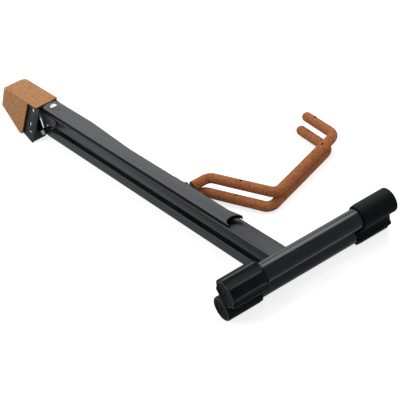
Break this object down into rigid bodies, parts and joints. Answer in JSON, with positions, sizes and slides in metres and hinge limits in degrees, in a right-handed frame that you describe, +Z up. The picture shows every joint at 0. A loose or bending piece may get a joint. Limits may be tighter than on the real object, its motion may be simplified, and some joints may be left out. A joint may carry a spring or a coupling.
{
  "type": "cello stand",
  "caption": "Folding cello stand shown folded: channel legs with capped tube feet, a cork-covered hood, a swinging bar and bent support arms in cork.",
  "frame": {"origin": "middle of the folded stand's footprint, on the surface that it lies on", "axes": "+X along the foot tubes towards the arms' side, +Y from the feet to the hood, +Z up from the surface it lies on"},
  "size_m": [0.4208, 0.9478, 0.0831],
  "materials": {
    "paint": "satin black powder coat",
    "rubber": "matt moulded",
    "plastic": "matt moulded",
    "steel": "plain turned",
    "zinc": "bright zinc plate",
    "cork": "pressed granulated cork, unsealed"
  },
  "bodies": {
    "rear_leg": {"rear_leg_channel": "paint", "rear_foot_tube": "paint", "rear_foot_round_cap": "rubber", "rear_foot_fluted_cap": "rubber", "hinge_sleeve": "steel"},
    "front_leg": {"front_leg_channel": "paint", "front_foot_tube": "paint", "front_foot_round_cap": "rubber", "front_foot_fluted_cap": "rubber", "hinge_plate_near": "paint", "hinge_plate_far": "paint", "hinge_bush_near": "plastic", "hinge_bush_far": "plastic", "hinge_pin": "zinc", "bar_spacer": "steel", "bar_rivet": "zinc", "hood_bracket": "paint", "hood_cork_top": "cork", "hood_cork_near": "cork", "hood_cork_far": "cork", "hood_block": "steel", "hood_rivet_1": "zinc", "hood_rivet_2": "zinc", "arm_lug_lower": "paint", "arm_lug_upper": "paint", "arm_lug_rivet_1": "zinc", "arm_lug_rivet_2": "zinc", "arm_pin_a": "zinc", "arm_pin_b": "zinc"},
    "bar": {"swing_bar": "paint"},
    "arm_a": {"arm_rod_a": "paint", "arm_cork_a": "cork"},
    "arm_b": {"arm_rod_b": "paint", "arm_cork_b": "cork"}
  },
  "joints": [
    {"name": "fold", "type": "hinge", "parent": "rear_leg", "child": "front_leg", "pos_m": [-0.09514, 0.33288, 0.016], "axis": [-1, 0, 0], "range_deg": [0, 38]},
    {"name": "bar_swing", "type": "hinge", "parent": "front_leg", "child": "bar", "pos_m": [-0.09514, 0.30288, 0.069], "axis": [0, 0, 1], "range_deg": [-75, 0]},
    {"name": "arm_a_turn", "type": "hinge", "parent": "front_leg", "child": "arm_a", "pos_m": [-0.06339, -0.10982, 0.03], "axis": [0, -1, 0], "range_deg": [0, 90]},
    {"name": "arm_b_turn", "type": "hinge", "parent": "front_leg", "child": "arm_b", "pos_m": [-0.07139, -0.10982, 0.011], "axis": [0, -1, 0], "range_deg": [0, 27]}
  ],
  "couplings": [
    {"joint": "arm_b_turn", "follows": "arm_a_turn", "ratio": 0.3}
  ]
}
